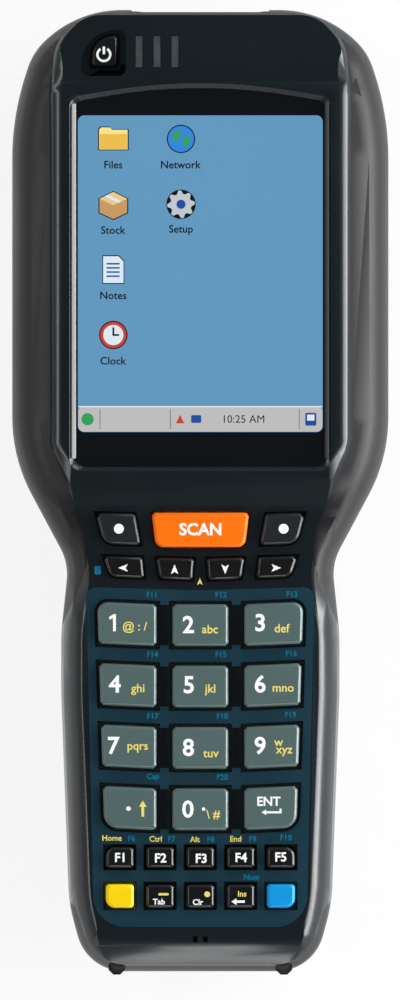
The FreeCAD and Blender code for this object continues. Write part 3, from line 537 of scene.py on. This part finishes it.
def moulded(name, colour, roughness=(0.35, 0.45), grain=2500.0, depth=0.0, tint=1.25, mottle=60.0,
            specular=0.5, coat=0.0, metallic=0.0):
    """A moulded or printed finish. Depth is the height of its grain in metres."""
    material, tree, shader = new_material(name)
    if tree is None:
        return material
    group = tree.nodes.new("ShaderNodeGroup")
    group.node_tree = moulded_group()
    group.inputs["Colour"].default_value = colour
    group.inputs["Tint"].default_value = scaled(colour, tint)
    group.inputs["Mottle scale"].default_value = mottle
    group.inputs["Grain scale"].default_value = grain
    group.inputs["Roughness low"].default_value = roughness[0]
    group.inputs["Roughness high"].default_value = roughness[1]
    tree.links.new(group.outputs["Colour"], shader.inputs["Base Color"])
    tree.links.new(group.outputs["Roughness"], shader.inputs["Roughness"])
    if depth:
        bump = tree.nodes.new("ShaderNodeBump")
        bump.inputs["Strength"].default_value = 1.0
        bump.inputs["Distance"].default_value = depth
        tree.links.new(group.outputs["Height"], bump.inputs["Height"])
        tree.links.new(bump.outputs["Normal"], shader.inputs["Normal"])
    shader.inputs["Specular IOR Level"].default_value = specular
    shader.inputs["Coat Weight"].default_value = coat
    shader.inputs["Coat Roughness"].default_value = 0.08
    shader.inputs["Metallic"].default_value = metallic
    return material


def lit(name, colour, wander=0.03):
    """A lit patch of the display: it shows its own colour, a little uneven, under a glossy face."""
    material, tree, shader = new_material(name)
    if tree is None:
        return material
    place = tree.nodes.new("ShaderNodeTexCoord")
    noise = tree.nodes.new("ShaderNodeTexNoise")
    noise.inputs["Scale"].default_value = 18.0
    mix = tree.nodes.new("ShaderNodeMix")
    mix.data_type = "RGBA"
    mix.inputs[6].default_value = scaled(colour, 1 - wander)
    mix.inputs[7].default_value = scaled(colour, 1 + wander)
    tree.links.new(place.outputs["Object"], noise.inputs["Vector"])
    tree.links.new(noise.outputs["Fac"], mix.inputs[0])
    tree.links.new(mix.outputs[2], shader.inputs["Emission Color"])
    shader.inputs["Emission Strength"].default_value = 1.0
    shader.inputs["Base Color"].default_value = (0.004, 0.005, 0.006, 1)
    shader.inputs["Roughness"].default_value = 0.12
    shader.inputs["Specular IOR Level"].default_value = 0.15
    return material


def finish_for(slot):
    """The material of a record slot."""
    colour, low, high, grain, height, rest = FINISHES[slot]
    if isinstance(colour, str):
        colour = linear(getattr(bpy.context.scene.terminal_colours, colour))
    name = "Back shell plastic" if slot == "case_plastic" else slot.replace("_", " ").capitalize()
    return moulded(name, colour, roughness=(low, high), grain=grain, depth=height * MM, **rest)


def print_ink(colour_name):
    """The ink of this colour property."""
    colour = linear(getattr(bpy.context.scene.terminal_colours, colour_name))
    return moulded(colour_name.capitalize() + " print", colour, roughness=(0.4, 0.5), grain=4000.0, tint=1.04,
                   mottle=400.0, specular=0.3)


# Operators

class TERMINAL_OT_housings(bpy.types.Operator):
    """Moulds the front and back housings, the battery door and the film of the keypad"""
    bl_idname = "terminal.housings"
    bl_label = "Housings and faceplate"

    def execute(self, context):
        front = moulded_copy("front_housing", finish_for("bezel_plastic"))
        even_rise(front)
        colours = context.scene.terminal_colours
        front.data.materials.append(moulded("Display surround", linear(colours.surround),
                                            roughness=(0.12, 0.18), grain=3200.0, depth=0.001 * MM,
                                            tint=1.2, specular=0.4))
        low_end, high_end = SURROUND_ENDS
        for face in front.data.polygons:
            middle = face.center / MM
            level = abs(middle.z - SURROUND_HEIGHT) < 0.3 and face.normal.z > 0.9
            if level and low_end < middle.y < high_end and abs(middle.x) < SURROUND_HALF_WIDTH:
                face.material_index = 1
        moulded_copy("rear_housing", finish_for("case_plastic"))
        moulded_copy("battery_door", finish_for("case_plastic"))
        moulded_copy("keypad_faceplate", finish_for("faceplate"))
        return {"FINISHED"}


class TERMINAL_OT_display_lips(bpy.types.Operator):
    """Models the sloped bead down each side of the display recess"""
    bl_idname = "terminal.display_lips"
    bl_label = "Display lips"

    def execute(self, context):
        lip = context.scene.terminal_sizes.lip / MM
        colour = linear(context.scene.terminal_colours.bezel)
        polished = moulded("Polished lip", colour, roughness=(0.3, 0.36), grain=3200.0, depth=0.002 * MM,
                           specular=0.75)
        slope = [(1.0, 0.0), (1.0, 0.06), (0.85, 0.2), (-0.5, 1.0), (-0.85, 1.0), (-1.0, 0.85), (-1.0, 0.0)]
        for name, side, finish in (("left", 1, polished), ("right", -1, finish_for("bezel_plastic"))):
            bead = cut_out("bead", [(side * lip * a, lip * b) for a, b in slope], 0.0, LIP_LENGTH)
            bead.rotation_euler = (math.radians(90), 0, 0)
            bead.location = Vector((-side * LIP_X, LIP_END, LIP_HEIGHT)) * MM
            settle(bead, name + "_display_lip", finish, "terminal")
            bpy.ops.object.shade_smooth_by_angle(angle=math.radians(15))
        return {"FINISHED"}


class TERMINAL_OT_rubber(bpy.types.Operator):
    """Moulds the rubber round the head, the nose and the base"""
    bl_idname = "terminal.rubber"
    bl_label = "Rubber overmould"

    def execute(self, context):
        for node in ("left_bumper", "right_bumper", "nose_hood", "base_bumper"):
            moulded_copy(node, finish_for("rubber"), angle=34.0, flats=False)
        return {"FINISHED"}


class TERMINAL_OT_keycaps(bpy.types.Operator):
    """Moulds every keycap with rounded edges, in its own colour"""
    bl_idname = "terminal.keycaps"
    bl_label = "Keycaps"

    def execute(self, context):
        edge = context.scene.terminal_sizes.key_edge
        colours = {"scan_key": "key_orange", "yellow_key": "key_yellow", "blue_key": "key_blue"}
        colours.update({node: "key_grey" for node in NUMBER_KEYS})
        colours.update({node: "key_black" for node in BLACK_KEYS})
        soft_colour = linear(context.scene.terminal_colours.soft_key)
        soft = moulded("Soft key black", soft_colour, roughness=(0.3, 0.38), grain=3000.0, depth=0.003 * MM,
                       specular=0.4)
        for node, slot in colours.items():
            finish = soft if node.startswith("soft") else finish_for(slot)
            moulded_copy(node, finish, edge=edge, angle=34.0)
        return {"FINISHED"}


class TERMINAL_OT_key_print(bpy.types.Operator):
    """Prints the digits, letters, words, dots and arrows of the keycaps"""
    bl_idname = "terminal.key_print"
    bl_label = "Key print"

    def execute(self, context):
        sizes = context.scene.terminal_sizes
        steps = context.scene.terminal_studio.ring_steps
        power_x, power_y = -20.95, 94.9
        shapes = [
            ("soft_key_left", "white", disc(-17.7, -8.1, 1.08)),
            ("soft_key_right", "white", disc(18.1, -8.1, 1.08)),
            ("arrow_key_left", "white", turned(NOTCHED_ARROW, -16.7, -16.6, 180)),
            ("arrow_key_up", "white", turned(NOTCHED_ARROW, -5.6, -17.0, 90)),
            ("arrow_key_down", "white", turned(NOTCHED_ARROW, 5.4, -16.8, 270)),
            ("arrow_key_right", "white", turned(NOTCHED_ARROW, 16.4, -16.6, 0)),
            ("key_1", "white", turned(FLAGGED_ONE, -19.1, -28.5, 0)),
            ("key_point", "white", disc(-15.6, -68.9, 0.5)),
            ("key_point", "yellow", turned(SHAFT_ARROW, -12.5, -68.9, 90)),
            ("key_0", "white", disc(0.7, -69.0, 0.38)),
            ("key_enter", "white", turned(HOOKED_ARROW, 14.9, -69.7, 0)),
            ("backspace_key", "white", turned(SHAFT_ARROW, 8.2, -89.1, 180, 0.85)),
            ("tab_key", "yellow", rounded(-9.1, -87.75, -6.9, -87.25, 0.1, 2)),
            ("escape_key", "yellow", disc(1.5, -87.5, 0.62)),
            ("power_key", "white", open_ring(power_x, power_y, 1.66, 1.14, 62, steps)),
            ("power_key", "white", rounded(power_x - 0.26, power_y + 0.05, power_x + 0.26, power_y + 1.75,
                                           0.12, 2)),
        ]
        marks = {}
        for key, text, x, y, size, colour in KEY_LETTERING:
            mark = lettering(text, x, y, getattr(sizes, size), KEY_TOP, sizes.print_depth, BOLD[size])
            marks.setdefault((key, colour), []).append(mark)
        for key, colour, outline in shapes:
            low = POWER_TOP if key == "power_key" else KEY_TOP
            mark = cut_out("mark", outline, low, low + sizes.print_depth / MM)
            marks.setdefault((key, colour), []).append(mark)
        for (key, colour), parts in marks.items():
            settle(join(parts), key + "_" + colour + "_print", print_ink(colour), key + "_body")
        return {"FINISHED"}


class TERMINAL_OT_plate_print(bpy.types.Operator):
    """Prints the small yellow and blue labels of the faceplate and the waist"""
    bl_idname = "terminal.plate_print"
    bl_label = "Faceplate print"

    def execute(self, context):
        sizes = context.scene.terminal_sizes
        marks = {"yellow": [], "blue": []}
        for text, x, y, colour in PLATE_LETTERING:
            mark = lettering(text, x, y, sizes.legend, PLATE_TOP, sizes.print_depth, BOLD["legend"])
            marks[colour].append(mark)
        high = PLATE_TOP + sizes.print_depth / MM
        marks["blue"].append(cut_out("square", rounded(-23.0, -18.0, -21.6, -16.2, 0.15, 2), PLATE_TOP, high))
        marks["yellow"].append(cut_out("mark", turned(NOTCHED_ARROW, -0.1, -19.6, 90, 0.75), PLATE_TOP, high))
        for colour, parts in marks.items():
            settle(join(parts), "faceplate_" + colour + "_print", print_ink(colour), "terminal")
        return {"FINISHED"}


class TERMINAL_OT_display(bpy.types.Operator):
    """Builds the lit picture: a plain desktop, its bar, a few icons with labels and a clock"""
    bl_idname = "terminal.display"
    bl_label = "Display picture"

    def piece(self, name, outlines, level, colour, wander=0.03):
        """Shapes of one colour on one layer of the picture."""
        low = PANEL_TOP + 0.01 + LAYER * level
        parts = [cut_out(name, points, low, low + LAYER) for points in outlines]
        glow = lit("Display " + name.replace("_", " "), linear(colour), wander)
        settle(join(parts), "picture_" + name, glow, "terminal")

    def execute(self, context):
        colours = context.scene.terminal_colours
        left, right, low, high = PICTURE_EDGES
        self.piece("desktop", [rounded(left, low, right, high, 1.3)], 0, colours.screen, 0.02)
        self.piece("bar", [rounded(left + 0.1, low + 0.1, right - 0.1, BAR_TOP, 1.2)], 1, colours.task_bar)
        self.piece("bar_edge", [rounded(left + 0.1, BAR_TOP - 0.25, right - 0.1, BAR_TOP, 0.1, 2)], 2,
                   (0.93, 0.93, 0.93))
        self.piece("bar_gaps", [rounded(x, low + 0.7, x + 0.18, BAR_TOP - 0.6, 0.05, 2)
                                for x in (-21.9, -6.6, 21.4)], 2, (0.45, 0.46, 0.48))

        folder, box, sheet, globe, gear, clock = [(x, y) for label, x, y in ICONS.values()]
        teeth = []
        for n in range(32):
            radius = 3.0 if n % 4 < 2 else 2.3
            teeth.append((gear[0] + radius * math.cos(math.tau * n / 32),
                          gear[1] + radius * math.sin(math.tau * n / 32)))
        self.piece("icon_rims", [turned(FOLDER, *folder, 0, 1.08), turned(BOX, *box, 0, 1.08),
                                 turned(SHEET, *sheet, 0, 1.08), disc(*globe, 3.1), disc(*gear, 3.2),
                                 disc(*clock, 3.1)], 1, INK)
        self.piece("folder", [turned(FOLDER, *folder, 0)], 2, (0.97, 0.88, 0.55))
        self.piece("folder_front", [turned(FOLDER_FRONT, *folder, 0, 0.97)], 3, (0.92, 0.74, 0.3))
        self.piece("box", [turned(BOX, *box, 0)], 2, (0.78, 0.6, 0.38))
        self.piece("box_lid", [turned(BOX_LID, *box, 0)], 3, (0.92, 0.78, 0.55))
        self.piece("box_tape", [turned(BOX_TAPE, *box, 0)], 4, PALE)
        self.piece("sheet", [turned(SHEET, *sheet, 0)], 2, PALE)
        x, y = sheet
        self.piece("sheet_lines", [rounded(x - 1.5, y + up, x + 1.4, y + up + 0.35, 0.08, 2)
                                   for up in (1.1, 0.2, -0.7, -1.6)], 3, BLUE)
        self.piece("globe", [disc(*globe, 2.85)], 2, (0.2, 0.52, 0.85))
        self.piece("globe_land", [turned(WEST_LAND, *globe, 0), turned(EAST_LAND, *globe, 0)], 3, GREEN)
        self.piece("gear", [teeth], 2, (0.75, 0.78, 0.8))
        self.piece("clock", [disc(*clock, 2.85)], 2, RED)
        self.piece("clock_face", [disc(*clock, 2.2)], 3, PALE)
        x, y = clock
        self.piece("clock_hands", [rounded(x - 0.2, y - 0.2, x + 0.2, y + 1.7, 0.1, 2),
                                   rounded(x - 0.2, y - 0.2, x + 1.3, y + 0.2, 0.1, 2)], 4, INK)
        self.piece("gear_hub", [disc(*gear, 1.0)], 3, BLUE)

        self.piece("bar_icons", [disc(-24.5, 15.7, 1.35, 20)], 2, GREEN)
        self.piece("bar_icons_red", [turned(TRIANGLE, -4.4, 15.7, 0)], 2, RED)
        self.piece("bar_icons_blue", [rounded(-2.0, 14.9, 0.2, 16.6, 0.3, 3),
                                      rounded(22.8, 14.3, 25.2, 17.1, 0.3, 3)], 2, BLUE)
        self.piece("bar_icons_pale", [rounded(23.2, 15.4, 24.8, 16.7, 0.1, 2)], 3, PALE)

        text = [lettering(label, x, y - LABEL_DROP, 1.7 * MM, PANEL_TOP + 0.03, LAYER * MM, 0.02)
                for label, x, y in ICONS.values()]
        text.append(lettering("10:25 AM", 9.5, 15.75, 1.75 * MM, PANEL_TOP + 0.04, LAYER * MM))
        settle(join(text), "picture_words", lit("Display words", linear((0.02, 0.03, 0.05))), "terminal")
        return {"FINISHED"}


class TERMINAL_OT_fittings(bpy.types.Operator):
    """Gives the window, light pipes, gaskets, boards, screws and the other small parts their finishes"""
    bl_idname = "terminal.fittings"
    bl_label = "Fittings and inner parts"

    def execute(self, context):
        for node, slot in SOLE_SLOTS.items():
            mesh = frame["nodes"][node].data
            mesh.materials.clear()
            mesh.materials.append(finish_for(slot))
        return {"FINISHED"}


def floor_material():
    """A matt floor that the camera and the reflections see as almost white, whatever light falls on it."""
    material, tree, shader = new_material("Studio floor")
    shader.inputs["Base Color"].default_value = (0.9, 0.9, 0.9, 1)
    shader.inputs["Roughness"].default_value = 0.9
    shader.inputs["Specular IOR Level"].default_value = 0.0
    path = tree.nodes.new("ShaderNodeLightPath")
    glow = tree.nodes.new("ShaderNodeEmission")
    mix = tree.nodes.new("ShaderNodeMixShader")
    seen = tree.nodes.new("ShaderNodeMath")
    seen.operation = "MAXIMUM"
    seen_through = tree.nodes.new("ShaderNodeMath")
    seen_through.operation = "MAXIMUM"
    share = tree.nodes.new("ShaderNodeMath")
    share.operation = "MULTIPLY"
    share.inputs[1].default_value = 0.85
    tree.links.new(path.outputs["Is Camera Ray"], seen.inputs[0])
    tree.links.new(path.outputs["Is Glossy Ray"], seen.inputs[1])
    tree.links.new(seen.outputs[0], seen_through.inputs[0])
    tree.links.new(path.outputs["Is Transmission Ray"], seen_through.inputs[1])
    tree.links.new(seen_through.outputs[0], share.inputs[0])
    tree.links.new(share.outputs[0], mix.inputs[0])
    tree.links.new(shader.outputs[0], mix.inputs[1])
    tree.links.new(glow.outputs[0], mix.inputs[2])
    tree.links.new(mix.outputs[0], tree.nodes["Material Output"].inputs["Surface"])
    return material


def area_lamp(name, location, size, power):
    """A rectangular lamp that faces the middle of the object."""
    deselect()
    bpy.ops.object.light_add(type="AREA", location=location)
    lamp = bpy.context.active_object
    lamp.name = name
    lamp.data.shape = "RECTANGLE"
    lamp.data.size, lamp.data.size_y = size
    lamp.data.energy = power
    lamp.rotation_euler = (LAMP_TARGET - Vector(location)).to_track_quat("-Z", "Y").to_euler()


def light_room(scene, horizon, zenith):
    """A room that is bright at the height of the object and dim overhead."""
    world = scene.world or bpy.data.worlds.new("Room")
    scene.world = world
    world.use_nodes = True
    tree = world.node_tree
    tree.nodes.clear()
    out = tree.nodes.new("ShaderNodeOutputWorld")
    sky = tree.nodes.new("ShaderNodeBackground")
    way = tree.nodes.new("ShaderNodeTexCoord")
    parts = tree.nodes.new("ShaderNodeSeparateXYZ")
    ramp = tree.nodes.new("ShaderNodeMapRange")
    ramp.inputs["From Min"].default_value = 0.25
    ramp.inputs["From Max"].default_value = 0.8
    ramp.inputs["To Min"].default_value = horizon
    ramp.inputs["To Max"].default_value = zenith
    tree.links.new(way.outputs["Generated"], parts.inputs[0])
    tree.links.new(parts.outputs["Z"], ramp.inputs["Value"])
    tree.links.new(ramp.outputs["Result"], sky.inputs["Color"])
    tree.links.new(sky.outputs[0], out.inputs["Surface"])


class TERMINAL_OT_studio(bpy.types.Operator):
    """Lays the pale floor and sets the lamps, the room and the camera"""
    bl_idname = "terminal.studio"
    bl_label = "Studio"

    def execute(self, context):
        studio = context.scene.terminal_studio
        deselect()
        bpy.ops.mesh.primitive_circle_add(vertices=64, radius=FLOOR_RADIUS, fill_type="NGON",
                                          location=(0, 0, FLOOR_HEIGHT))
        floor = context.active_object
        floor.name = "studio_floor"
        bpy.ops.object.transform_apply(location=True, rotation=True, scale=True)
        floor.data.materials.append(floor_material())

        area_lamp("right_strip", (0.7, 0.0, 0.36), (0.8, 0.2), studio.right_lamp)
        area_lamp("low_right", (0.7, 0.0, 0.13), (0.8, 0.15), studio.low_lamp)
        area_lamp("base_strip", (0.05, -0.75, 0.3), (0.4, 0.12), studio.base_lamp)
        area_lamp("left_strip", (-0.62, 0.05, 0.5), (0.8, 0.12), studio.left_lamp)
        area_lamp("high_soft", (0.5, 0.8, 0.5), (0.6, 0.4), studio.key_lamp)
        light_room(context.scene, studio.horizon, studio.zenith)

        distance = studio.picture_height * studio.lens / SENSOR_WIDTH
        bpy.ops.object.camera_add(location=CAMERA_TARGET + Vector((0, 0, distance)), rotation=(0, 0, 0))
        camera = context.active_object
        camera.name = "photograph_camera"
        camera.data.lens = studio.lens
        camera.data.sensor_width = SENSOR_WIDTH
        camera.data.clip_end = 20.0
        context.scene.camera = camera
        context.scene.view_settings.view_transform = "Standard"
        return {"FINISHED"}


class TERMINAL_PT_panel(bpy.types.Panel):
    """Lists the steps that dress the terminal, with their sizes and colours"""
    bl_idname = "TERMINAL_PT_panel"
    bl_label = "Barcode terminal"
    bl_space_type = "VIEW_3D"
    bl_region_type = "UI"
    bl_category = "Terminal"

    def draw(self, context):
        layout = self.layout
        for step in STEPS:
            layout.operator(step.bl_idname)
        scene = context.scene
        for group in (scene.terminal_sizes, scene.terminal_colours, scene.terminal_studio):
            column = layout.column()
            for name in group.__annotations__:
                column.prop(group, name)


STEPS = (TERMINAL_OT_housings, TERMINAL_OT_display_lips, TERMINAL_OT_rubber, TERMINAL_OT_keycaps,
         TERMINAL_OT_key_print, TERMINAL_OT_plate_print, TERMINAL_OT_display, TERMINAL_OT_fittings,
         TERMINAL_OT_studio)
CLASSES = (TerminalSizes, TerminalColours, StudioSettings) + STEPS + (TERMINAL_PT_panel,)


def register():
    for cls in CLASSES:
        bpy.utils.register_class(cls)
    bpy.types.Scene.terminal_sizes = PointerProperty(type=TerminalSizes)
    bpy.types.Scene.terminal_colours = PointerProperty(type=TerminalColours)
    bpy.types.Scene.terminal_studio = PointerProperty(type=StudioSettings)


def unregister():
    del bpy.types.Scene.terminal_studio
    del bpy.types.Scene.terminal_colours
    del bpy.types.Scene.terminal_sizes
    for cls in reversed(CLASSES):
        bpy.utils.unregister_class(cls)


def main():
    register()
    bpy.ops.terminal.housings()
    bpy.ops.terminal.display_lips()
    bpy.ops.terminal.rubber()
    bpy.ops.terminal.keycaps()
    bpy.ops.terminal.key_print()
    bpy.ops.terminal.plate_print()
    bpy.ops.terminal.display()
    bpy.ops.terminal.fittings()
    bpy.ops.terminal.studio()


if __name__ == "__main__":
    main()
